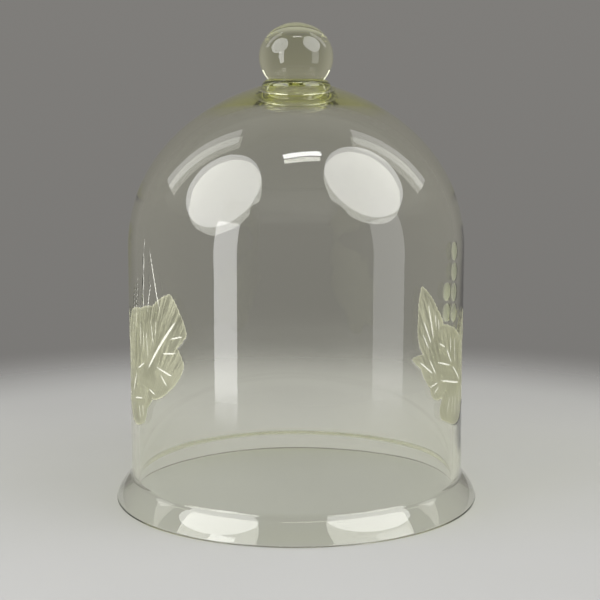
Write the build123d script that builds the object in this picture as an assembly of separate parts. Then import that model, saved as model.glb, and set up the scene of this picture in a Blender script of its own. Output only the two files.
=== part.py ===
from build123d import *
import os
from math import cos, radians, sin, sqrt

os.makedirs("parts", exist_ok=True)

# A blown-glass bell jar dome, which stands mouth down on its flared foot.
# Millimetres. The origin is the centre of the standing rim, on the surface that the bell
# stands on. +Z is the bell's axis, and the front is towards -Y.

# ---- Bell shell: straight wall and dome ----
WALL_OUTER_RADIUS = 81.4
WALL_THICKNESS = 4.0
SPRING_HEIGHT = 122.0       # where the straight wall turns into the dome
DOME_RISE = 78.4            # from there up to where the outside meets the knob's collar
CROWN_THICKNESS = 5.0       # on the axis, from the inside of the dome up to the crown height
CROWN_SLOPE = 16.0          # degrees below level, at the collar
SHOULDER_FULLNESS = 0.625   # share of the dome's rise over which the shoulder heads up
CROWN_FULLNESS = 0.386      # share of the dome's reach over which the crown keeps its slope

# ---- Flared foot ----
FLARE_WIDTH = 7.8           # how far the foot stands out past the wall
FLARE_HEIGHT = 12.3         # the corner outside, between the wall and the flare
FLARE_BULGE = 1.0           # how far the outside of the flare swells past its chord
INNER_FLARE_HEIGHT = 11.0   # the corner inside, between the wall and the flare
INNER_FLARE_BULGE = 0.6
INNER_FLARE_ROUND = 5.0     # radius that softens the corner inside
LIP_WIDTH = 2.7             # glass at the standing edge
LIP_ROUND = 0.7             # fire-polished edges of the lip

# ---- Knob: a disc of glass let into the crown, a collar on it, and a solid ball ----
DISC_RADIUS = 17.9
DISC_THICKNESS = 3.2
DISC_EDGE_ROUND = 1.4
COLLAR_RADIUS = 16.6        # where the collar meets the disc
COLLAR_HEIGHT = 3.4
COLLAR_SWELL = 0.5          # how far its side swells past a straight cone
BALL_RADIUS = 17.8          # across
BALL_HALF_HEIGHT = 16.3     # the ball is slightly flattened
BALL_SEAT_RADIUS = 13.7     # the fused neck between the collar and the ball
ROUND_HANDLE = 0.5523       # handle of a curve that follows a quarter ellipse

# ---- Wheel engraving in the outside of the wall: a vine leaf on each side ----
# Points are away from the front and up, in an upright plane that faces outwards at the
# leaf's azimuth. Heights are from the middle of the straight wall. The left-hand leaf is
# drawn on the right, and mirrored.
LEAF_AZIMUTH = 68.0         # degrees round from the front
GROUND_DEPTH = 0.25         # frosted ground of the leaf
STROKE_DEPTH = 0.5          # veins and stalks
LEAF_EDGE_SWELL = 0.05      # swell of the leaf's edge, as a share of each stretch

RIGHT_EDGE = [
    (-16.3, 24.8), (-21.8, 32.5), (-33.4, 44.8), (-35.2, 30.5), (-34.6, 18.5), (-31.6, 13.1),
    (-38.7, 12.3), (-33.0, 6.8), (-30.0, 0.9), (-26.8, -2.8), (-25.2, -7.6), (-22.4, -9.3),
    (-16.3, -9.3), (-18.8, -14.6), (-17.7, -18.8), (-10.4, -22.0), (-0.5, -25.1), (7.5, -24.0),
    (14.5, -16.0), (19.5, -17.5), (28.0, -17.5), (30.0, -11.5), (27.0, -5.0), (31.5, 1.0),
    (36.0, 9.0), (29.5, 13.0), (22.0, 12.0), (20.5, 19.5), (17.0, 28.5), (10.5, 24.0),
    (5.5, 16.2), (-9.8, 23.4),
]
LEFT_EDGE = [
    (6.0, 29.0), (-8.0, 31.5), (-20.0, 34.0), (-33.0, 41.0), (-38.5, 33.0), (-42.0, 23.5),
    (-36.8, 17.0), (-40.5, 9.5), (-37.6, 2.6), (-31.0, -4.0), (-25.3, -7.8), (-18.6, -9.6),
    (-13.6, -14.6), (-10.4, -22.0), (-0.5, -25.1), (7.5, -24.0), (14.5, -16.0), (19.5, -17.5),
    (28.0, -17.5), (30.0, -11.5), (27.0, -5.0), (31.5, 1.0), (36.0, 9.0), (29.5, 13.0),
    (22.0, 12.0), (20.5, 19.5), (17.0, 28.5), (11.5, 22.0),
]

# Strokes: where each starts and ends, and its width at the middle.
RIGHT_VEINS = [
    ((8.5, -5.5), (-5.1, 3.7), 1.3), ((-6.2, 5.2), (-12.8, 13.0), 1.1),
    ((-14.0, 14.0), (-20.0, 16.8), 0.9), ((-28.9, 36.6), (-24.3, 18.5), 1.0),
    ((-31.9, 28.7), (-26.2, 17.2), 1.0), ((-32.4, 23.0), (-27.8, 15.0), 0.8),
    ((-23.8, 31.0), (-22.4, 24.4), 0.8), ((-20.9, 28.4), (-20.1, 22.6), 0.8),
    ((-21.6, 8.1), (-7.4, 4.4), 1.0), ((-8.2, 19.5), (-8.0, 10.2), 0.9),
    ((-3.0, 17.5), (-1.4, 4.0), 0.9), ((-27.4, 10.2), (-22.3, 2.6), 0.9),
    ((-34.1, 10.1), (-24.6, 3.2), 1.0), ((-18.6, -0.9), (7.2, -6.6), 1.2),
    ((-27.0, -2.9), (-20.0, -1.2), 0.9), ((-23.9, -6.4), (-19.4, -3.2), 0.9),
    ((0.3, -10.3), (-0.4, -22.5), 0.9), ((-7.2, -9.3), (-11.4, -18.2), 0.9),
    ((-3.6, -9.8), (-5.6, -20.4), 0.8), ((11.0, -4.2), (16.0, 24.0), 1.2),
    ((12.8, -5.4), (33.0, 8.2), 1.2), ((12.6, -8.4), (25.0, -14.6), 1.0),
    ((9.4, -9.3), (5.5, -21.8), 1.0), ((21.5, 3.4), (26.5, 9.8), 0.8),
]
LEFT_VEINS = [
    ((-13.6, 2.8), (-37.0, 30.0), 1.6), ((-32.4, 20.4), (-40.0, 22.6), 1.0),
    ((-26.6, 13.0), (-36.2, 14.4), 1.0), ((-22.0, 6.3), (-34.3, 3.4), 1.0),
    ((-25.6, 3.0), (-30.0, -1.6), 0.9), ((7.7, -11.3), (-0.6, 0.4), 1.2),
    ((-2.4, 2.2), (-11.2, 6.4), 1.0), ((4.4, -13.2), (-8.6, -10.8), 1.0),
    ((-3.0, -14.6), (-4.6, -21.6), 0.9), ((-7.6, -13.8), (-8.6, -19.6), 0.8),
    ((-15.4, -5.4), (-21.4, -7.2), 0.9), ((10.8, -8.0), (16.0, 24.0), 1.2),
    ((12.8, -9.4), (33.0, 8.2), 1.2), ((12.6, -12.4), (25.0, -14.6), 1.0),
]
STALKS = [
    ((-13.2, 66.0), (-10.8, 26.5), 0.7), ((-18.1, 61.0), (-26.2, 30.0), 0.7),
    ((-19.3, 46.0), (-14.6, 29.0), 0.7), ((-17.9, 27.6), (-20.3, 14.8), 0.7),
    ((-22.6, 28.0), (-21.4, 18.6), 0.7), ((-13.2, 22.4), (-14.9, 9.0), 0.7),
    ((-5.8, 48.0), (4.1, 4.5), 0.7), ((-7.4, 34.0), (-6.4, 8.4), 0.7),
    ((-10.2, 22.0), (-10.6, 9.6), 0.7), ((-1.2, 44.0), (8.4, 8.0), 0.7),
]

# Grapes, cut by a ball-shaped wheel in staggered columns over the right-hand leaf.
GRAPE_WHEEL_RADIUS = 20.0
GRAPE_DEPTH = 0.5
GRAPE_PITCH = 9.6
GRAPE_COLUMN_STEP = 6.0     # degrees from one column to the next, towards the front
GRAPE_FIRST_AZIMUTH = 64.2
GRAPE_COLUMNS = [(4, 57.8), (2, 39.9)]      # number of grapes, height of the top one

# ---- Sizes that follow from these ----
crown_height = SPRING_HEIGHT + DOME_RISE
wall_inner_radius = WALL_OUTER_RADIUS - WALL_THICKNESS
foot_radius = WALL_OUTER_RADIUS + FLARE_WIDTH
lip_inner_radius = foot_radius - LIP_WIDTH
inner_apex_height = crown_height - CROWN_THICKNESS
collar_top_height = crown_height + COLLAR_HEIGHT
ball_seat_drop = BALL_HALF_HEIGHT * sqrt(1 - (BALL_SEAT_RADIUS / BALL_RADIUS) ** 2)
ball_centre_height = collar_top_height + ball_seat_drop
wall_middle_height = (FLARE_HEIGHT + SPRING_HEIGHT) / 2

CUT_CLEARANCE = 1.0         # how far a cutting shape stands out past the wall


def spin(outline):
    """Revolve a face, drawn as radius across and height up, round the bell's axis."""
    return revolve(Plane.XZ * outline, Axis.Z)


def outside_of_dome(inset):
    """The outside of the dome, from the wall to the collar, brought in by the inset."""
    crown_run = CROWN_FULLNESS * (WALL_OUTER_RADIUS - DISC_RADIUS)
    wall_radius = WALL_OUTER_RADIUS - inset
    disc_radius = DISC_RADIUS - inset
    shoulder_handle = (wall_radius, SPRING_HEIGHT + SHOULDER_FULLNESS * DOME_RISE)
    crown_handle = (
        disc_radius + crown_run * cos(radians(CROWN_SLOPE)),
        crown_height - crown_run * sin(radians(CROWN_SLOPE)),
    )
    return Bezier(
        (wall_radius, SPRING_HEIGHT),
        shoulder_handle,
        crown_handle,
        (disc_radius, crown_height),
    )


def bell_blank():
    """The bell before the knob's disc is let in and the wall is engraved."""
    wall_foot = (WALL_OUTER_RADIUS, FLARE_HEIGHT)
    wall_top = (WALL_OUTER_RADIUS, SPRING_HEIGHT)
    inner_wall_foot = (wall_inner_radius, INNER_FLARE_HEIGHT)
    inner_wall_top = (wall_inner_radius, SPRING_HEIGHT)
    foot_edge = (foot_radius, 0)
    lip_inner_edge = (lip_inner_radius, 0)
    crown_edge = (DISC_RADIUS, crown_height)
    inside_of_dome = EllipticalCenterArc(
        (0, SPRING_HEIGHT),
        wall_inner_radius,
        inner_apex_height - SPRING_HEIGHT,
        arc_size=90,
    )
    outline = [
        Line(lip_inner_edge, foot_edge),
        SagittaArc(foot_edge, wall_foot, -FLARE_BULGE),
        Line(wall_foot, wall_top),
        outside_of_dome(0),
        Line(crown_edge, (0, crown_height)),
        Line((0, crown_height), (0, inner_apex_height)),
        inside_of_dome,
        Line(inner_wall_top, inner_wall_foot),
        SagittaArc(inner_wall_foot, lip_inner_edge, INNER_FLARE_BULGE),
    ]
    section = make_face(outline)
    lip_corners = section.vertices().filter_by(lambda corner: abs(corner.Y) < LIP_ROUND)
    section = fillet(lip_corners, LIP_ROUND)
    inner_corner = section.vertices().sort_by_distance(inner_wall_foot)[0]
    section = fillet(inner_corner, INNER_FLARE_ROUND)
    return spin(section)


def knob_disc():
    """A disc of glass let into the crown, its top level with the dome's edge."""
    bottom = crown_height - DISC_THICKNESS
    section = Pos(DISC_RADIUS / 2, bottom + DISC_THICKNESS / 2) * Rectangle(
        DISC_RADIUS, DISC_THICKNESS
    )
    lower_edge = section.vertices().sort_by_distance((DISC_RADIUS, bottom))[0]
    return spin(fillet(lower_edge, DISC_EDGE_ROUND))


def knob_collar():
    """The rounded collar that joins the disc to the ball."""
    foot = (COLLAR_RADIUS, crown_height)
    top = (BALL_SEAT_RADIUS, collar_top_height)
    side = SagittaArc(foot, top, -COLLAR_SWELL)
    rest = Polyline(top, (0, collar_top_height), (0, crown_height), foot)
    return spin(make_face([side, rest]))


def knob_ball():
    """The solid, slightly flattened ball, cut flat where it is fused to the collar."""
    top = ball_centre_height + BALL_HALF_HEIGHT
    bottom = ball_centre_height - BALL_HALF_HEIGHT
    outline = [
        round_quarter(top),
        round_quarter(bottom),
        Line((0, bottom), (0, top)),
    ]
    above_seat = Pos(0, collar_top_height) * Rectangle(
        2 * BALL_RADIUS, 2 * BALL_HALF_HEIGHT, align=Align.MIN
    )
    return spin(make_face(outline) & above_seat)


def round_quarter(pole_height):
    """The ball's side, from its widest point to a pole."""
    towards_pole = ROUND_HANDLE * (pole_height - ball_centre_height)
    return Bezier(
        (BALL_RADIUS, ball_centre_height),
        (BALL_RADIUS, ball_centre_height + towards_pole),
        (ROUND_HANDLE * BALL_RADIUS, pole_height),
        (0, pole_height),
    )


def wall_plane(azimuth):
    """An upright plane through the axis that faces outwards at an azimuth from the front.

    Its X runs level, away from the front, and its Y runs up from the wall's middle.
    """
    across = (cos(radians(azimuth)), sin(radians(azimuth)), 0)
    outwards = (sin(radians(azimuth)), -cos(radians(azimuth)), 0)
    return Plane(origin=(0, 0, wall_middle_height), x_dir=across, z_dir=outwards)


def under_the_skin(depth):
    """What is left inside the outer surface once it is cut in by a depth all over."""
    wall_radius = WALL_OUTER_RADIUS - depth
    disc_radius = DISC_RADIUS - depth
    outline = [
        Polyline((0, crown_height), (0, 0), (wall_radius, 0), (wall_radius, SPRING_HEIGHT)),
        outside_of_dome(depth),
        Line((disc_radius, crown_height), (0, crown_height)),
    ]
    return spin(make_face(outline))


def skin_cut(shape, azimuth, core):
    """The outer skin of the wall under a flat shape, down to the core below that skin."""
    prism = extrude(wall_plane(azimuth) * shape, WALL_OUTER_RADIUS + CUT_CLEARANCE)
    return prism - core


def leaf_outline(edge):
    """The lobed outline of a leaf, each stretch of it slightly swollen outwards."""
    corners = [Vector(*corner) for corner in edge]
    stretches = []
    for start, end in zip(corners, corners[1:] + corners[:1]):
        swell = LEAF_EDGE_SWELL * (end - start).length
        stretches.append(SagittaArc(start, end, -swell))
    return make_face(stretches)


def stroke(start, end, width):
    """A wheel-cut stroke: widest in the middle, and pointed at both ends."""
    start, end = Vector(*start), Vector(*end)
    middle = (start + end) / 2
    half_width = (end - start).normalized().rotate(Axis.Z, 90) * (width / 2)
    return make_face(Polyline(start, middle + half_width, end, middle - half_width, close=True))


def leaf_ground(edge):
    """The shallow frosted ground of a leaf."""
    return skin_cut(leaf_outline(edge), LEAF_AZIMUTH, under_the_skin(GROUND_DEPTH))


def stroke_cuts(strokes):
    """The deeper cuts of veins and stalks."""
    core = under_the_skin(STROKE_DEPTH)
    return [skin_cut(stroke(*each), LEAF_AZIMUTH, core) for each in strokes]


def grape_cuts():
    """The ball-shaped wheel in place at every grape of the right-hand bunch."""
    reach = WALL_OUTER_RADIUS + GRAPE_WHEEL_RADIUS - GRAPE_DEPTH
    cuts = []
    for column, (count, top) in enumerate(GRAPE_COLUMNS):
        plane = wall_plane(GRAPE_FIRST_AZIMUTH - column * GRAPE_COLUMN_STEP)
        for row in range(count):
            centre = Pos(0, top - row * GRAPE_PITCH, reach)
            cuts.append(plane * centre * Sphere(GRAPE_WHEEL_RADIUS))
    return cuts


def bell_shell(disc):
    """The finished bell, with a seat for the disc and its engraved sides."""
    right_side = [leaf_ground(RIGHT_EDGE)] + stroke_cuts(RIGHT_VEINS) + grape_cuts()
    left_side = [leaf_ground(LEFT_EDGE)] + stroke_cuts(LEFT_VEINS + STALKS)
    left_side = [mirror(cut, Plane.YZ) for cut in left_side]
    return bell_blank() - disc - right_side - left_side


disc = knob_disc()
nodes = {
    "bell_shell": bell_shell(disc),
    "knob_disc": disc,
    "knob_collar": knob_collar(),
    "knob_ball": knob_ball(),
}
for name, shape in nodes.items():
    export_step(shape, f"parts/{name}.step")
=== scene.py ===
from math import cos, pi, radians, sin

import bpy
import numpy as np
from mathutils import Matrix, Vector


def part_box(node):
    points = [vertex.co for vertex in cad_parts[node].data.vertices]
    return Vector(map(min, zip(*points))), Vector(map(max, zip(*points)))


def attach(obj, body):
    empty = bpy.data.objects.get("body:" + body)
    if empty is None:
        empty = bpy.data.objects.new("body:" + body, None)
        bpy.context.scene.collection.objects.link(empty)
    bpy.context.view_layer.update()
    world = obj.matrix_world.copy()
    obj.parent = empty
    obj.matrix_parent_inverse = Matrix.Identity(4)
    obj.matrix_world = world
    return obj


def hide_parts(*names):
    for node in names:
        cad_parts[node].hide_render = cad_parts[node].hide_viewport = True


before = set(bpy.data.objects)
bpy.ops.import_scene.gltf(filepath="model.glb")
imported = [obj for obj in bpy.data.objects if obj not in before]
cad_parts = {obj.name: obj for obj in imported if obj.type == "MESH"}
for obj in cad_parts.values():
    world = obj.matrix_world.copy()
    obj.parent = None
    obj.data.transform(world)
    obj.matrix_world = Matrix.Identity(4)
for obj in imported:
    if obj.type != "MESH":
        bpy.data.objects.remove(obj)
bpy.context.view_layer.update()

# A blown-glass bell jar dome with a solid ball knob and wheel-engraved sides.
# Shapes are worked out in millimetres, as radius from the bell's axis and height above the
# surface that it stands on, and turned into metres when a mesh is made. Azimuths are degrees
# round from the front (-Y), positive towards +X.
MM = 0.001


def in_mm(node):
    """Radius, lowest and highest point of a round CAD node, in millimetres."""
    low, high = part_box(node)
    return high.x / MM, low.z / MM, high.z / MM


_, _, crown_height = in_mm("bell_shell")
disc_radius, disc_bottom, _ = in_mm("knob_disc")
collar_radius, _, collar_top = in_mm("knob_collar")
ball_radius, _, ball_top = in_mm("knob_ball")

# ---- Bell shell ----
WALL_RADIUS = 81.4
WALL_THICKNESS = 4.0
SPRING_HEIGHT = 122.0
CROWN_THICKNESS = 5.0
CROWN_SLOPE = 16.0
SHOULDER_FULLNESS = 0.625
CROWN_FULLNESS = 0.386
FLARE_HEIGHT = 12.3
FLARE_EDGE_RADIUS = 89.2
FLARE_BULGE = 1.0
INNER_FLARE_HEIGHT = 11.0
INNER_FLARE_BULGE = 0.6
INNER_FLARE_ROUND = 5.0
LIP_WIDTH = 2.7
LIP_OUTER_ROUND = 1.55
LIP_INNER_ROUND = 0.4
FLARE_CORNER_ROUND = 0.9
DISC_EDGE_ROUND = 1.4
COLLAR_SWELL = 0.5
BALL_HALF_HEIGHT = 16.3
BALL_SEAT_RADIUS = 13.7
ROUND_HANDLE = 0.5523

inner_radius = WALL_RADIUS - WALL_THICKNESS
inner_apex = crown_height - CROWN_THICKNESS
ball_middle = ball_top - BALL_HALF_HEIGHT
wall_middle = (FLARE_HEIGHT + SPRING_HEIGHT) / 2

# ---- Wheel engraving in the outside of the wall: a vine leaf on each side ----
# Points are away from the front and up, in an upright plane that faces outwards at the
# leaf's azimuth. Heights are from the middle of the straight wall. The left-hand leaf is
# drawn on the right, and mirrored.
LEAF_AZIMUTH = 68.0         # degrees round from the front
GROUND_DEPTH = 0.25         # frosted ground of the leaf
STROKE_DEPTH = 0.5          # veins and stalks
TOOTH_PITCH = 2.6           # small teeth that the wheel left along the leaf's edge
TOOTH_HEIGHT = 0.35
STROKE_SLIMNESS = 0.75      # keeps a blunt stroke as light as a pointed one
LEAF_EDGE_SWELL = 0.05      # swell of the leaf's edge, as a share of each stretch

RIGHT_EDGE = [
    (-16.3, 24.8), (-21.8, 32.5), (-33.4, 44.8), (-35.2, 30.5), (-34.6, 18.5), (-31.6, 13.1),
    (-38.7, 12.3), (-33.0, 6.8), (-30.0, 0.9), (-26.8, -2.8), (-25.2, -7.6), (-22.4, -9.3),
    (-16.3, -9.3), (-18.8, -14.6), (-17.7, -18.8), (-10.4, -22.0), (-0.5, -25.1), (7.5, -24.0),
    (14.5, -16.0), (19.5, -17.5), (28.0, -17.5), (30.0, -11.5), (27.0, -5.0), (31.5, 1.0),
    (36.0, 9.0), (29.5, 13.0), (22.0, 12.0), (20.5, 19.5), (17.0, 28.5), (10.5, 24.0),
    (5.5, 16.2), (-9.8, 23.4),
]
LEFT_EDGE = [
    (6.0, 29.0), (-8.0, 31.5), (-20.0, 34.0), (-33.0, 41.0), (-38.5, 33.0), (-42.0, 23.5),
    (-36.8, 17.0), (-40.5, 9.5), (-37.6, 2.6), (-31.0, -4.0), (-25.3, -7.8), (-18.6, -9.6),
    (-13.6, -14.6), (-10.4, -22.0), (-0.5, -25.1), (7.5, -24.0), (14.5, -16.0), (19.5, -17.5),
    (28.0, -17.5), (30.0, -11.5), (27.0, -5.0), (31.5, 1.0), (36.0, 9.0), (29.5, 13.0),
    (22.0, 12.0), (20.5, 19.5), (17.0, 28.5), (11.5, 22.0),
]

# Strokes: where each starts and ends, and its width at the middle.
RIGHT_VEINS = [
    ((8.5, -5.5), (-5.1, 3.7), 1.3), ((-6.2, 5.2), (-12.8, 13.0), 1.1),
    ((-14.0, 14.0), (-20.0, 16.8), 0.9), ((-28.9, 36.6), (-24.3, 18.5), 1.0),
    ((-31.9, 28.7), (-26.2, 17.2), 1.0), ((-32.4, 23.0), (-27.8, 15.0), 0.8),
    ((-23.8, 31.0), (-22.4, 24.4), 0.8), ((-20.9, 28.4), (-20.1, 22.6), 0.8),
    ((-21.6, 8.1), (-7.4, 4.4), 1.0), ((-8.2, 19.5), (-8.0, 10.2), 0.9),
    ((-3.0, 17.5), (-1.4, 4.0), 0.9), ((-27.4, 10.2), (-22.3, 2.6), 0.9),
    ((-34.1, 10.1), (-24.6, 3.2), 1.0), ((-18.6, -0.9), (7.2, -6.6), 1.2),
    ((-27.0, -2.9), (-20.0, -1.2), 0.9), ((-23.9, -6.4), (-19.4, -3.2), 0.9),
    ((0.3, -10.3), (-0.4, -22.5), 0.9), ((-7.2, -9.3), (-11.4, -18.2), 0.9),
    ((-3.6, -9.8), (-5.6, -20.4), 0.8), ((11.0, -4.2), (16.0, 24.0), 1.2),
    ((12.8, -5.4), (33.0, 8.2), 1.2), ((12.6, -8.4), (25.0, -14.6), 1.0),
    ((9.4, -9.3), (5.5, -21.8), 1.0), ((21.5, 3.4), (26.5, 9.8), 0.8),
]
LEFT_VEINS = [
    ((-13.6, 2.8), (-37.0, 30.0), 1.6), ((-32.4, 20.4), (-40.0, 22.6), 1.0),
    ((-26.6, 13.0), (-36.2, 14.4), 1.0), ((-22.0, 6.3), (-34.3, 3.4), 1.0),
    ((-25.6, 3.0), (-30.0, -1.6), 0.9), ((7.7, -11.3), (-0.6, 0.4), 1.2),
    ((-2.4, 2.2), (-11.2, 6.4), 1.0), ((4.4, -13.2), (-8.6, -10.8), 1.0),
    ((-3.0, -14.6), (-4.6, -21.6), 0.9), ((-7.6, -13.8), (-8.6, -19.6), 0.8),
    ((-15.4, -5.4), (-21.4, -7.2), 0.9), ((10.8, -8.0), (16.0, 24.0), 1.2),
    ((12.8, -9.4), (33.0, 8.2), 1.2), ((12.6, -12.4), (25.0, -14.6), 1.0),
]
STALKS = [
    ((-13.2, 66.0), (-10.8, 26.5), 0.7), ((-18.1, 61.0), (-26.2, 30.0), 0.7),
    ((-19.3, 46.0), (-14.6, 29.0), 0.7), ((-17.9, 27.6), (-20.3, 14.8), 0.7),
    ((-22.6, 28.0), (-21.4, 18.6), 0.7), ((-13.2, 22.4), (-14.9, 9.0), 0.7),
    ((-5.8, 48.0), (4.1, 4.5), 0.7), ((-7.4, 34.0), (-6.4, 8.4), 0.7),
    ((-10.2, 22.0), (-10.6, 9.6), 0.7), ((-1.2, 44.0), (8.4, 8.0), 0.7),
]

# Grapes, cut by a ball-shaped wheel in staggered columns over the right-hand leaf.
GRAPE_WHEEL_RADIUS = 20.0
GRAPE_DEPTH = 0.5
GRAPE_PITCH = 9.6
GRAPE_COLUMN_STEP = 6.0     # degrees from one column to the next, towards the front
GRAPE_FIRST_AZIMUTH = 64.2
GRAPE_COLUMNS = [(4, 57.8), (2, 39.9)]      # number of grapes, height of the top one

# How the engraving is laid into the mesh, and the marks that the material reads from it.
MARKS = ("leaf", "stroke", "grape", "grain", "side")
FAR_OUTSIDE = -9.0          # stands for a point well outside every cut
DRAWING_REACH = 60.0        # half the width of one side's drawing
GROUND_RUN = (-0.2, 0.5)    # over which the leaf's ground reaches its depth, from its edge
GROOVE_RUN = 0.4            # from a stroke's edge to its full depth
FAN_CENTRE = (10.0, -62.0)  # where the lines of the wheel's fine strokes would meet
FAN_RADIUS = 70.0
ENGRAVED_FROM = FLARE_HEIGHT + 1.0      # heights between which the wall may be cut
ENGRAVED_TO = SPRING_HEIGHT + 22.0

# A surface within the thickness of the glass, which tells its outside from its inside.
SPLIT_HEIGHTS = [0, 14, 20, 122, 150, 201]
SPLIT_RADII = [88, 79.4, 79.4, 79.4, 72, 16]
INSIDE_MARGIN = 0.5

# A blown wall is slightly uneven, but not at the foot or where the disc is let in.
WANDER_STARTS = (10, 40)    # heights
WANDER_STOPS = (175, 195)
OUTER_WANDER = 0.05
INNER_WANDER = 0.12
INNER_TURN, INNER_LIFT = 1.9, 17        # the inside wanders apart from the outside

# ---- Mesh ----
ROW_PITCH = 0.55            # between rows in the engraved wall
FINE_STEP = 0.40            # degrees between columns in the engraved stretches
COARSE_STEP = 0.8
FINE_FROM, FINE_TO = 30.0, 100.0        # degrees, to either side
KNOB_STEP = 2.5
DOME_POINTS, INNER_DOME_POINTS, INNER_WALL_POINTS = 120, 56, 30
FLAT_POINTS, FLARE_POINTS, POCKET_POINTS = 25, 25, 13
SEAM_POINTS, LIP_POINTS, RIM_POINTS = 9, 9, 4
COLLAR_POINTS, BALL_POINTS = 17, 40
SHARP_ANGLE = 32.0          # degrees


# ---------------------------------------------------------------- curves
def bezier(p0, p1, p2, p3, count):
    t = np.linspace(0, 1, count)[:, None]
    p0, p1, p2, p3 = map(np.array, (p0, p1, p2, p3))
    return (1 - t) ** 3 * p0 + 3 * (1 - t) ** 2 * t * p1 + 3 * (1 - t) * t**2 * p2 + t**3 * p3


def line(start, end, count):
    t = np.linspace(0, 1, count)[:, None]
    return np.array(start) * (1 - t) + np.array(end) * t


def bowed(start, end, bulge, count):
    """A circular arc from start to end; a positive bulge swells to the left of the way."""
    start, end = np.array(start, float), np.array(end, float)
    chord = end - start
    length = np.hypot(*chord)
    along = chord / length
    left = np.array([-along[1], along[0]])
    radius = (length**2 / 4 + bulge**2) / (2 * abs(bulge))
    middle = (start + end) / 2 + left * (bulge - np.sign(bulge) * radius)
    half = np.arcsin(length / 2 / radius)
    turn = np.linspace(-half, half, count)[:, None]
    return middle + radius * (np.sin(turn) * along + np.sign(bulge) * np.cos(turn) * left)


def join(*stretches):
    """One path through stretches that meet end to end."""
    path = [stretches[0]]
    for stretch in stretches[1:]:
        path.append(stretch[1:])
    return np.vstack(path)


def soften(path, corner, reach, count=5):
    """Round the corner of a path near a point, over a reach either side of it."""
    steps = np.hypot(*np.diff(path, axis=0).T)
    run = np.concatenate([[0], np.cumsum(steps)])
    at = run[np.argmin(np.hypot(*(path - np.array(corner)).T))]
    before, after = at - reach, at + reach

    def point(distance):
        return np.array([np.interp(distance, run, path[:, axis]) for axis in (0, 1)])

    first, last = point(before), point(after)
    t = np.linspace(0, 1, count)[:, None]
    bend = (1 - t) ** 2 * first + 2 * (1 - t) * t * np.array(corner) + t**2 * last
    return np.vstack([path[run < before], bend, path[run > after]])


# ---------------------------------------------------------------- the leaf's drawing
def leaf_outline(leaf_edge):
    """A leaf's outline: each stretch is slightly swollen and cut into small teeth."""
    corners = [np.array(corner) for corner in leaf_edge]
    outline = []
    for start, end in zip(corners, corners[1:] + corners[:1]):
        length = np.hypot(*(end - start))
        teeth = max(1, round(length / TOOTH_PITCH))
        edge = bowed(start, end, -LEAF_EDGE_SWELL * length, 2 * teeth + 1)
        across = np.array([end[1] - start[1], start[0] - end[0]]) / length
        edge[1::2] += across * TOOTH_HEIGHT
        outline.append(edge[:-1])
    return np.vstack(outline)


def distance_inside(points, outline):
    """Distance from each point to a closed outline, positive inside it."""
    ends = np.roll(outline, -1, axis=0)
    nearest = np.full(len(points), np.inf)
    inside = np.zeros(len(points), bool)
    for a, b in zip(outline, ends):
        side = b - a
        share = np.clip((points - a) @ side / (side @ side), 0, 1)
        nearest = np.minimum(nearest, np.hypot(*(points - a - share[:, None] * side).T))
        crosses = (a[1] > points[:, 1]) != (b[1] > points[:, 1])
        rise = (points[:, 1] - a[1]) / (side[1] if side[1] else 1.0)
        inside ^= crosses & (points[:, 0] < a[0] + rise * side[0])
    return np.where(inside, nearest, -nearest)


def inside_strokes(points, strokes):
    """How far each point lies inside the strokes, which taper at both ends, in millimetres."""
    best = np.full(len(points), FAR_OUTSIDE)
    for start, end, width in strokes:
        start, end = np.array(start), np.array(end)
        side = end - start
        share = np.clip((points - start) @ side / (side @ side), 0, 1)
        away = np.hypot(*(points - start - share[:, None] * side).T)
        half_width = STROKE_SLIMNESS * width / 2 * (1 - (2 * share - 1) ** 4)
        best = np.maximum(best, half_width - away)
    return best


# ---------------------------------------------------------------- the bell's section
def outside_of_dome(count):
    """From the edge of the disc down to the top of the straight wall."""
    rise = crown_height - SPRING_HEIGHT
    crown_run = CROWN_FULLNESS * (WALL_RADIUS - disc_radius)
    crown_handle = (
        disc_radius + crown_run * cos(radians(CROWN_SLOPE)),
        crown_height - crown_run * sin(radians(CROWN_SLOPE)),
    )
    shoulder_handle = (WALL_RADIUS, SPRING_HEIGHT + SHOULDER_FULLNESS * rise)
    return bezier(
        (disc_radius, crown_height), crown_handle, shoulder_handle,
        (WALL_RADIUS, SPRING_HEIGHT), count,
    )


def inside_of_dome(count):
    """A quarter of an ellipse, from the top of the inside wall up to the axis."""
    turn = np.linspace(0, pi / 2, count)
    rise = (inner_apex - SPRING_HEIGHT) * np.cos(turn)
    return np.column_stack([inner_radius * np.sin(turn), SPRING_HEIGHT + rise])[::-1]


def seat_of_disc():
    """The pocket in the crown that the disc is fused into, from the axis to the dome's edge."""
    corner = (disc_radius, disc_bottom)
    path = join(
        line((0, disc_bottom), corner, FLAT_POINTS),
        line(corner, (disc_radius, crown_height), POCKET_POINTS),
    )
    return soften(path, corner, DISC_EDGE_ROUND, 7)


def outer_wall():
    """From the top of the straight wall down to the outer edge of the lip."""
    wall_foot = (WALL_RADIUS, FLARE_HEIGHT)
    lip_edge = (FLARE_EDGE_RADIUS, 0)
    rows = round((SPRING_HEIGHT - FLARE_HEIGHT) / ROW_PITCH)
    path = join(
        line((WALL_RADIUS, SPRING_HEIGHT), wall_foot, rows),
        bowed(wall_foot, lip_edge, FLARE_BULGE, FLARE_POINTS),
    )
    return soften(path, wall_foot, FLARE_CORNER_ROUND)


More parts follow.
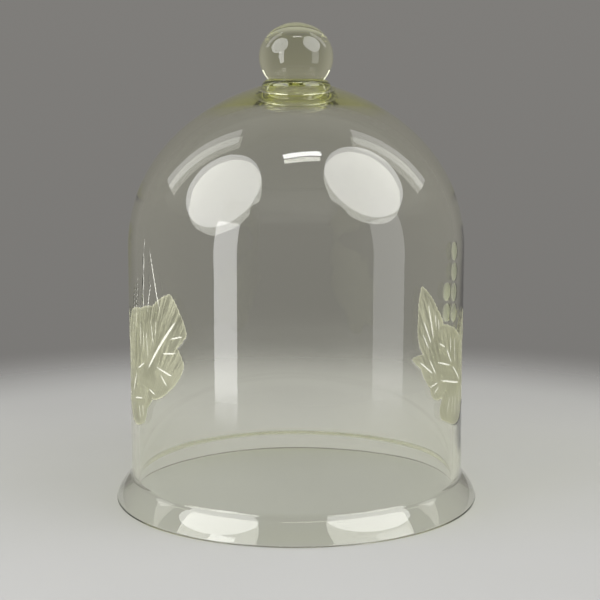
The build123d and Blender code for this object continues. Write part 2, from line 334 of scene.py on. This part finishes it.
def lip_and_inner_wall():
    """From the outer edge of the lip, across it, and up to the top of the inside wall."""
    lip_edge = (FLARE_EDGE_RADIUS, 0)
    lip_inner_edge = (FLARE_EDGE_RADIUS - LIP_WIDTH, 0)
    inner_foot = (inner_radius, INNER_FLARE_HEIGHT)
    path = join(
        line(lip_edge, lip_inner_edge, LIP_POINTS),
        bowed(lip_inner_edge, inner_foot, -INNER_FLARE_BULGE, FLARE_POINTS),
        line(inner_foot, (inner_radius, SPRING_HEIGHT), INNER_WALL_POINTS),
    )
    path = soften(path, lip_inner_edge, LIP_INNER_ROUND)
    return soften(path, inner_foot, INNER_FLARE_ROUND / 2, 9)


def bell_azimuths():
    """Columns round the bell, close together where it is engraved."""
    fine = np.arange(FINE_FROM, FINE_TO, FINE_STEP)
    front = np.arange(-FINE_FROM + COARSE_STEP, FINE_FROM, COARSE_STEP)
    back = np.arange(FINE_TO, 360 - FINE_TO + COARSE_STEP / 2, COARSE_STEP)
    columns = np.concatenate([front, fine, 360 - fine, back]) % 360
    return np.radians(np.unique(np.round(columns, 4)))


# ---------------------------------------------------------------- the wall's surface
def wall_drawing(azimuth, height):
    """Where points of the wall lie in a side's drawing, and whether they face it."""
    from_middle = azimuth - radians(LEAF_AZIMUTH)
    across = WALL_RADIUS * np.sin(from_middle)
    return np.column_stack([across, height - wall_middle]), np.cos(from_middle) > 0


def grape_cut_depth(azimuth, height):
    """Depth of the cuts that a ball-shaped wheel makes at the grapes, negative outside them."""
    reach = WALL_RADIUS + GRAPE_WHEEL_RADIUS - GRAPE_DEPTH
    depth = np.full(azimuth.shape, FAR_OUTSIDE)
    for column, (count, top) in enumerate(GRAPE_COLUMNS):
        turn = azimuth - radians(GRAPE_FIRST_AZIMUTH - column * GRAPE_COLUMN_STEP)
        for row in range(count):
            up = height - wall_middle - (top - row * GRAPE_PITCH)
            level = reach**2 + WALL_RADIUS**2 - 2 * reach * WALL_RADIUS * np.cos(turn)
            depth = np.maximum(depth, GRAPE_WHEEL_RADIUS - np.sqrt(level + up**2))
    return depth


def ramp(value, low, high):
    """A smooth step from 0 to 1."""
    share = np.clip((value - low) / (high - low), 0, 1)
    return share * share * (3 - 2 * share)


def engrave(azimuth, height):
    """Depth of the engraving at points of the wall, and the marks that the material reads."""
    count = len(azimuth)
    depth = np.zeros(count)
    marks = {mark: np.full(count, FAR_OUTSIDE) for mark in ("leaf", "stroke", "grape")}
    marks |= {mark: np.zeros(count) for mark in ("grain", "side")}
    drawings = ((1, RIGHT_EDGE, RIGHT_VEINS), (-1, LEFT_EDGE, LEFT_VEINS + STALKS))
    for side, leaf_edge, strokes in drawings:
        turned = (side * azimuth + pi) % (2 * pi) - pi
        points, facing = wall_drawing(turned, height)
        near = facing & (np.abs(points[:, 0]) < DRAWING_REACH)
        points = points[near]
        leaf = distance_inside(points, leaf_outline(leaf_edge))
        stroke = inside_strokes(points, strokes)
        cut = GROUND_DEPTH * ramp(leaf, *GROUND_RUN)
        groove = STROKE_DEPTH * np.clip(stroke / GROOVE_RUN, 0, 1)
        cut = np.maximum(cut, groove)
        if side > 0:
            grape = grape_cut_depth(turned[near], height[near])
            cut = np.maximum(cut, grape)
            marks["grape"][near] = grape
        depth[near] = cut
        marks["leaf"][near] = leaf
        marks["stroke"][near] = stroke
        marks["grain"][near] = fan_grain(points)
        marks["side"][near] = side
    return depth, marks


def fan_grain(points):
    """Distance across the strokes of the wheel, which fan up from under the leaf's foot."""
    reach = points - np.array(FAN_CENTRE)
    return np.arctan2(reach[:, 0], reach[:, 1]) * FAN_RADIUS


def blown_wander(azimuth, height, amount):
    """The slight unevenness of a blown wall, in millimetres."""
    slow = np.cos(2 * azimuth + height / 61) + 0.6 * np.cos(3 * azimuth - height / 43 + 1.1)
    quick = 0.25 * np.cos(7 * azimuth + height / 29 + 2.3) + 0.2 * np.cos(height / 11 + 0.6)
    return amount * (slow + quick)


# ---------------------------------------------------------------- meshes
def lathe(name, path, azimuths, fused_rows, shape=None):
    """A closed body of revolution from a path that starts and ends on the axis.

    The path runs from the top centre. Rows of faces in fused_rows touch the next piece of glass.
    """
    rows, columns = len(path), len(azimuths)
    radius = np.repeat(path[1:-1, 0], columns)
    height = np.repeat(path[1:-1, 1], columns)
    azimuth = np.tile(azimuths, rows - 2)
    marks = {}
    if shape:
        radius, height, marks = shape(radius, height, azimuth)
    points = np.column_stack([radius * np.sin(azimuth), -radius * np.cos(azimuth), height])
    poles = np.array([[0, 0, path[0, 1]], [0, 0, path[-1, 1]]])
    points = np.vstack([points, poles]) * MM
    first_pole, last_pole = len(points) - 2, len(points) - 1

    grid = np.arange((rows - 2) * columns).reshape(rows - 2, columns)
    turned = np.roll(grid, -1, axis=1)
    quads = np.stack([grid[:-1], grid[1:], turned[1:], turned[:-1]], axis=2).reshape(-1, 4)
    top = [(first_pole, a, b) for a, b in zip(grid[0], turned[0])]
    bottom = [(last_pole, b, a) for a, b in zip(grid[-1], turned[-1])]
    mesh = bpy.data.meshes.new(name)
    mesh.from_pydata(points.tolist(), [], top + quads.tolist() + bottom)
    fused = np.zeros(rows - 1)
    fused[list(fused_rows)] = 1
    on_faces = np.repeat(fused, columns)    # row by row, as the faces were made
    attribute = mesh.attributes.new("fused", "FLOAT", "FACE")
    attribute.data.foreach_set("value", on_faces.astype(np.float32))
    mesh.polygons.foreach_set("use_smooth", np.ones(len(mesh.polygons), bool))
    for mark, values in marks.items():
        attribute = mesh.attributes.new(mark, "FLOAT", "POINT")
        attribute.data.foreach_set("value", np.append(values, [0, 0]).astype(np.float32))
    mesh.update()
    piece = bpy.data.objects.new(name, mesh)
    bpy.context.scene.collection.objects.link(piece)
    return piece


def finish_piece(piece, node, material):
    piece.data.set_sharp_from_angle(angle=radians(SHARP_ANGLE))
    piece.data.materials.append(material)
    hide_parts(node)
    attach(piece, "root")


def make_bell(material):
    seat = seat_of_disc()
    path = join(
        seat, outside_of_dome(DOME_POINTS), outer_wall(),
        lip_and_inner_wall(), inside_of_dome(INNER_DOME_POINTS),
    )
    path = soften(path, (FLARE_EDGE_RADIUS, 0), LIP_OUTER_ROUND, 9)
    path[-1, 0] = 0     # exactly on the axis

    def shape(radius, height, azimuth):
        outer = radius > np.interp(height, SPLIT_HEIGHTS, SPLIT_RADII)
        inner = ~outer & (radius < inner_radius + INSIDE_MARGIN)
        in_wall = outer & (height > ENGRAVED_FROM) & (height < ENGRAVED_TO)
        depth = np.zeros(len(radius))
        marks = {mark: np.full(len(radius), FAR_OUTSIDE) for mark in MARKS}
        depth[in_wall], found = engrave(azimuth[in_wall], height[in_wall])
        for mark in marks:
            marks[mark][in_wall] = found[mark]
        fade = ramp(height, *WANDER_STARTS) * (1 - ramp(height, *WANDER_STOPS))
        outer_wander = blown_wander(azimuth, height, OUTER_WANDER)
        inner_wander = blown_wander(azimuth + INNER_TURN, height + INNER_LIFT, INNER_WANDER)
        radius = radius - depth
        radius = radius + np.where(outer, fade * outer_wander, 0)
        radius = radius + np.where(inner, fade * inner_wander, 0)
        return radius, height, marks

    bell = lathe("bell_glass", path, bell_azimuths(), range(len(seat) - 1), shape)
    finish_piece(bell, "bell_shell", material)


def make_disc(material):
    collar_edge = (collar_radius, crown_height)
    corner = (disc_radius, disc_bottom)
    top = line((0, crown_height), collar_edge, SEAM_POINTS)
    rim = line(collar_edge, (disc_radius, crown_height), RIM_POINTS)
    under = join(
        line((disc_radius, crown_height), corner, POCKET_POINTS),
        line(corner, (0, disc_bottom), FLAT_POINTS),
    )
    under = soften(under, corner, DISC_EDGE_ROUND, 7)
    path = join(top, rim, under)
    rim_rows = range(len(top) - 1, len(top) + len(rim) - 2)
    fused = [row for row in range(len(path) - 1) if row not in rim_rows]
    disc = lathe("knob_disc_glass", path, knob_azimuths(), fused)
    finish_piece(disc, "knob_disc", material)


def make_collar(material):
    ball_seat, foot = (BALL_SEAT_RADIUS, collar_top), (collar_radius, crown_height)
    top = line((0, collar_top), ball_seat, SEAM_POINTS)
    side = bowed(ball_seat, foot, COLLAR_SWELL, COLLAR_POINTS)
    bottom = line(foot, (0, crown_height), SEAM_POINTS)
    path = join(top, side, bottom)
    glass_rows = range(len(top) - 1, len(top) + len(side) - 2)
    fused = [row for row in range(len(path) - 1) if row not in glass_rows]
    collar = lathe("knob_collar_glass", path, knob_azimuths(), fused)
    finish_piece(collar, "knob_collar", material)


def make_ball(material):
    upper = bezier(
        (0, ball_top), (ROUND_HANDLE * ball_radius, ball_top),
        (ball_radius, ball_middle + ROUND_HANDLE * BALL_HALF_HEIGHT), (ball_radius, ball_middle),
        BALL_POINTS,
    )
    lower = upper * (1, -1) + (0, 2 * ball_middle)
    lower = lower[::-1]
    seat_row = np.argmax(lower[:, 1] < collar_top)
    seat = np.array([[BALL_SEAT_RADIUS, collar_top]])
    path = np.vstack([upper, lower[1:seat_row], seat])
    bottom = line(seat[0], (0, collar_top), SEAM_POINTS)
    path = join(path, bottom)
    fused = range(len(path) - len(bottom), len(path) - 1)
    ball = lathe("knob_ball_glass", path, knob_azimuths(), fused)
    finish_piece(ball, "knob_ball", material)


def knob_azimuths():
    return np.radians(np.arange(0, 360, KNOB_STEP))


# ---------------------------------------------------------------- materials
class Nodes:
    """Short calls for adding and joining shader nodes."""

    def __init__(self, tree):
        self.tree = tree
        tree.nodes.clear()

    def put(self, socket, value):
        if isinstance(value, bpy.types.NodeSocket):
            self.tree.links.new(value, socket)
        elif value is not None:
            if socket.type == "RGBA" and not isinstance(value, float) and len(value) == 3:
                value = (*value, 1)
            socket.default_value = value

    def add(self, kind, inputs=(), **settings):
        node = self.tree.nodes.new(kind)
        for name, value in settings.items():
            setattr(node, name, value)
        for name, value in dict(inputs).items():
            self.put(node.inputs[name], value)
        return node

    def math(self, operation, a, b=None, c=None, clamp=False):
        node = self.tree.nodes.new("ShaderNodeMath")
        node.operation, node.use_clamp = operation, clamp
        for socket, value in zip(node.inputs, (a, b, c)):
            self.put(socket, value)
        return node.outputs[0]

    def ramp(self, value, low, high, to_low=0.0, to_high=1.0):
        """A smooth step of a value from one range to another."""
        node = self.add(
            "ShaderNodeMapRange",
            {"Value": value, "From Min": low, "From Max": high,
             "To Min": to_low, "To Max": to_high},
            interpolation_type="SMOOTHSTEP",
        )
        return node.outputs["Result"]

    def blend(self, share, a, b, colour=False):
        """A mix of two numbers or two colours: the Mix node has its own sockets for each."""
        node = self.tree.nodes.new("ShaderNodeMix")
        first, second, result = 2, 3, 0
        if colour:
            node.data_type = "RGBA"
            first, second, result = 6, 7, 2
        self.put(node.inputs[0], share)
        self.put(node.inputs[first], a)
        self.put(node.inputs[second], b)
        return node.outputs[result]

    def mark(self, name):
        return self.add("ShaderNodeAttribute", attribute_name=name).outputs["Fac"]

    def noise(self, vector, scale, detail=2.0, roughness=0.5):
        inputs = {"Vector": vector, "Scale": scale, "Detail": detail, "Roughness": roughness}
        return self.add("ShaderNodeTexNoise", inputs).outputs["Fac"]

    def stretched(self, vector, x, y, z):
        node = self.add("ShaderNodeMapping", {"Vector": vector, "Scale": (x, y, z)})
        return node.outputs["Vector"]


# Clear, faintly yellow-green glass, and the finish that the wheel leaves on it.
GLASS_IOR = 1.52
GLASS_TINT = (0.996, 0.998, 0.988)
INNER_TINT = (0.93, 0.94, 0.30)     # what the body of the glass lets through
INNER_DENSITY = 14.0
LAMP_PASS = (0.99, 0.995, 0.975)    # what each surface lets through of a lamp's light
FUSED_MIRROR = 0.10                 # share of mirror in a seam between pieces
FROST_COLOUR = (0.52, 0.52, 0.37)
GRAPE_COLOUR = (0.52, 0.54, 0.39)
FROST_CLEAR = 0.94                  # share that the ground of the leaf lets through
STROKE_COLOUR = (0.90, 0.90, 0.79)
STREAK_LOSS, PATCH_LOSS, RIM_LOSS = 0.46, 0.14, 0.42    # what streaks and rims take from it
GRAPE_CLEAR, STROKE_CLEAR = 0.58, 0.10
FROST_ROUGHNESS, GRAPE_ROUGHNESS, STROKE_ROUGHNESS = 0.30, 0.26, 0.38
STREAKS_PER_MM = 2.4                # noise scale across the wheel's fine strokes
STREAK_DRIFT = 45                   # and along them, per metre


def glass_material(name, engraved):
    material = bpy.data.materials.new(name)
    material.use_nodes = True
    n = Nodes(material.node_tree)
    place = n.add("ShaderNodeTexCoord").outputs["Object"]

    # Faint handling marks, and the striae that blowing draws out in the wall.
    smudge = n.noise(n.stretched(place, 1, 1, 0.6), 38.0, 3.0)
    roughness = n.ramp(smudge, 0.55, 0.80, 0.0, 0.02)
    striae = n.noise(n.stretched(place, 1, 1, 0.12), 55.0, 0.0)
    bump = n.add("ShaderNodeBump", {"Height": striae, "Strength": 0.12, "Distance": 0.00010})
    colour, transmission, specular = GLASS_TINT, 1.0, 0.5

    if engraved:
        leaf, stroke, grape, grain, side = (n.mark(mark) for mark in MARKS)
        wobble = n.math("MULTIPLY_ADD", n.noise(place, 420.0, 2.0), 0.5, -0.25)
        frosted = n.ramp(n.math("ADD", leaf, wobble), -0.1, 0.15)
        rim = n.math("MULTIPLY", frosted, n.ramp(leaf, 0.2, 1.1, 1.0, 0.0))
        stroked = n.ramp(n.math("MULTIPLY_ADD", wobble, 0.4, stroke), -0.12, 0.12)
        grape_cut = n.ramp(grape, 0.0, 0.05)

        # The wheel's fine strokes: long thin lines that fan up the leaf.
        along = n.stretched(place, 0, 0, STREAK_DRIFT)
        across = n.math("MULTIPLY", grain, STREAKS_PER_MM)
        fine = n.add("ShaderNodeCombineXYZ", {"X": across, "Y": side})
        fine = n.add("ShaderNodeVectorMath", {0: fine.outputs[0], 1: along}, operation="ADD")
        lines = n.noise(fine.outputs[0], 1.0, 4.0, 0.75)
        streak = n.ramp(lines, 0.45, 0.57)
        patch = n.ramp(n.noise(place, 75.0, 2.0), 0.35, 0.68)

        # How much light the ground glass still lets through, and how much it scatters.
        clear = n.math("MULTIPLY_ADD", streak, -STREAK_LOSS, FROST_CLEAR)
        clear = n.math("MULTIPLY_ADD", patch, -PATCH_LOSS, clear)
        clear = n.math("MULTIPLY_ADD", rim, -RIM_LOSS, clear, clamp=True)
        transmission = n.blend(frosted, 1.0, clear)
        transmission = n.blend(grape_cut, transmission, GRAPE_CLEAR)
        transmission = n.blend(stroked, transmission, STROKE_CLEAR)
        frost_roughness = n.math("MULTIPLY_ADD", streak, 0.2, FROST_ROUGHNESS)
        roughness = n.blend(frosted, roughness, frost_roughness)
        roughness = n.blend(grape_cut, roughness, GRAPE_ROUGHNESS)
        roughness = n.blend(stroked, roughness, STROKE_ROUGHNESS)
        colour = n.blend(frosted, GLASS_TINT, FROST_COLOUR, colour=True)
        colour = n.blend(grape_cut, colour, GRAPE_COLOUR, colour=True)
        colour = n.blend(stroked, colour, STROKE_COLOUR, colour=True)
        cut = n.math("MULTIPLY", n.math("MAXIMUM", frosted, stroked), lines)
        bump = n.add("ShaderNodeBump", {"Height": cut, "Strength": 0.6, "Distance": 0.0002,
                                        "Normal": bump.outputs[0]})

    glass = n.add("ShaderNodeBsdfPrincipled", {
        "Base Color": colour, "Roughness": roughness, "Transmission Weight": transmission,
        "IOR": GLASS_IOR, "Normal": bump.outputs[0],
    })
    lamp_pass = n.add("ShaderNodeBsdfTransparent", {"Color": LAMP_PASS})
    is_shadow = n.add("ShaderNodeLightPath").outputs["Is Shadow Ray"]
    surface = n.add(
        "ShaderNodeMixShader", {0: is_shadow, 1: glass.outputs[0], 2: lamp_pass.outputs[0]}
    )

    # Faces that are fused to the next piece of glass let light straight through.
    through = n.add("ShaderNodeBsdfTransparent", {"Color": (1.0, 1.0, 1.0)})
    glint = n.add("ShaderNodeBsdfGlossy", {"Color": (1.0, 1.0, 0.95), "Roughness": 0.05})
    seam = n.add(
        "ShaderNodeMixShader", {0: FUSED_MIRROR, 1: through.outputs[0], 2: glint.outputs[0]}
    )
    surface = n.add(
        "ShaderNodeMixShader", {0: n.mark("fused"), 1: surface.outputs[0], 2: seam.outputs[0]}
    )
    volume = n.add("ShaderNodeVolumeAbsorption", {"Color": INNER_TINT, "Density": INNER_DENSITY})
    n.add("ShaderNodeOutputMaterial", {"Surface": surface.outputs[0], "Volume": volume.outputs[0]})
    return material


def floor_material():
    material = bpy.data.materials.new("floor_paint")
    material.use_nodes = True
    n = Nodes(material.node_tree)
    place = n.add("ShaderNodeTexCoord").outputs["Object"]
    away = n.add("ShaderNodeVectorMath", {0: place}, operation="LENGTH").outputs["Value"]
    fade = n.ramp(away, FLOOR_FADE_FROM, FLOOR_FADE_TO)
    cloud = n.noise(place, 6.0, 3.0)
    colour = n.blend(cloud, FLOOR_DARK, FLOOR_LIGHT, colour=True)
    paint = n.add("ShaderNodeBsdfPrincipled", {"Base Color": colour, "Roughness": 0.75})
    gone = n.add("ShaderNodeBsdfTransparent", {})
    surface = n.add("ShaderNodeMixShader", {0: fade, 1: paint.outputs[0], 2: gone.outputs[0]})
    n.add("ShaderNodeOutputMaterial", {"Surface": surface.outputs[0]})
    return material


# ---------------------------------------------------------------- the object
bell_material = glass_material("blown_engraved_glass", True)
knob_material = glass_material("solid_knob_glass", False)
make_bell(bell_material)
make_disc(knob_material)
make_collar(knob_material)
make_ball(knob_material)

# ---------------------------------------------------------------- floor, light and camera
FLOOR_DROP = 0.0002
FLOOR_RADIUS = 0.46
FLOOR_FADE_FROM, FLOOR_FADE_TO = 0.26, 0.44     # where the floor melts into the room
FLOOR_DARK, FLOOR_LIGHT = (0.34, 0.34, 0.333), (0.38, 0.38, 0.373)

WORLD_LOW = (0.185, 0.181, 0.173)
WORLD_HIGH = (0.230, 0.222, 0.209)
WORLD_SIDE_FROM, WORLD_SIDE_TO = 0.40, 0.95     # the room is lighter to either side
WORLD_SIDE_GAIN = 1.55

LAMP_TARGET = 0.12          # height that the lamps point at
LAMPS = [                   # name, azimuth, elevation, distance, size, radiance
    ("umbrella_left", -62, 39, 0.80, (0.71, 0.71), 4.0),
    ("umbrella_right", 63, 45, 0.80, (0.71, 0.71), 3.8),
    ("panel_left", -46, 2, 1.2, (0.34, 0.80), 4.8),
    ("panel_right", 62, 2, 1.2, (0.50, 0.80), 1.6),
    ("edge_left", -112, 44, 1.0, (0.20, 0.70), 1.4),
    ("edge_right", 112, 44, 1.0, (0.20, 0.70), 1.4),
    ("tube_overhead", 12, 75, 1.6, (0.55, 0.10), 13.0),
]

CAMERA_DISTANCE = 0.688
CAMERA_HEIGHT = 0.200
CAMERA_PITCH = 8.53         # degrees down
CAMERA_YAW = 0.153          # degrees to the right
CAMERA_LENS = 85.2
LIGHT_BOUNCES, GLOSSY_BOUNCES = 32, 16


def make_floor():
    mesh = bpy.data.meshes.new("floor")
    turn = np.linspace(0, 2 * pi, 96, endpoint=False)
    points = np.column_stack(
        [FLOOR_RADIUS * np.cos(turn), FLOOR_RADIUS * np.sin(turn), 0 * turn - FLOOR_DROP]
    )
    mesh.from_pydata(points.tolist(), [], [list(range(len(turn)))])
    mesh.materials.append(floor_material())
    floor = bpy.data.objects.new("floor", mesh)
    bpy.context.scene.collection.objects.link(floor)


def make_lamp(name, azimuth, elevation, distance, size, radiance):
    """A soft lamp that is not itself seen; radiance sets how bright its reflection looks."""
    light = bpy.data.lights.new(name, "AREA")
    width, height = size
    light.shape = "ELLIPSE" if name.startswith("umbrella") else "RECTANGLE"
    light.size, light.size_y = width, height
    area = width * height * (pi / 4 if light.shape == "ELLIPSE" else 1)
    light.energy = radiance * area * 4
    lamp = bpy.data.objects.new(name, light)
    turn, rise = radians(azimuth), radians(elevation)
    lamp.location = (
        distance * cos(rise) * sin(turn), -distance * cos(rise) * cos(turn),
        LAMP_TARGET + distance * sin(rise),
    )
    direction = Vector((0, 0, LAMP_TARGET)) - lamp.location
    lamp.rotation_euler = direction.to_track_quat("-Z", "Y").to_euler()
    lamp.visible_camera = False
    lamp.visible_transmission = not name.startswith("panel")   # not seen through the glass
    bpy.context.scene.collection.objects.link(lamp)


def make_world():
    world = bpy.data.worlds.new("studio")
    world.use_nodes = True
    n = Nodes(world.node_tree)
    direction = n.add("ShaderNodeTexCoord").outputs["Generated"]
    apart = n.add("ShaderNodeSeparateXYZ", {0: direction})
    share = n.ramp(apart.outputs["Z"], -0.5, 0.5)
    colour = n.blend(share, WORLD_LOW, WORLD_HIGH, colour=True)
    aside = n.math("ABSOLUTE", apart.outputs["X"])
    strength = n.ramp(aside, WORLD_SIDE_FROM, WORLD_SIDE_TO, 1.0, WORLD_SIDE_GAIN)
    back = n.add("ShaderNodeBackground", {"Color": colour, "Strength": strength})
    n.add("ShaderNodeOutputWorld", {"Surface": back.outputs[0]})
    bpy.context.scene.world = world


make_floor()
make_world()
for lamp_settings in LAMPS:
    make_lamp(*lamp_settings)

camera = bpy.data.objects.new("camera", bpy.data.cameras.new("camera"))
camera.data.lens = CAMERA_LENS
camera.data.sensor_width = 36.0
camera.data.clip_start = 0.02
camera.location = (0, -CAMERA_DISTANCE, CAMERA_HEIGHT)
camera.rotation_euler = (radians(90 - CAMERA_PITCH), 0, radians(-CAMERA_YAW))
bpy.context.scene.collection.objects.link(camera)
bpy.context.scene.camera = camera

scene = bpy.context.scene
scene.view_settings.view_transform = "Standard"
scene.cycles.max_bounces = LIGHT_BOUNCES
scene.cycles.transmission_bounces = LIGHT_BOUNCES
scene.cycles.transparent_max_bounces = LIGHT_BOUNCES
scene.cycles.glossy_bounces = GLOSSY_BOUNCES
scene.cycles.caustics_reflective = False
scene.cycles.caustics_refractive = False
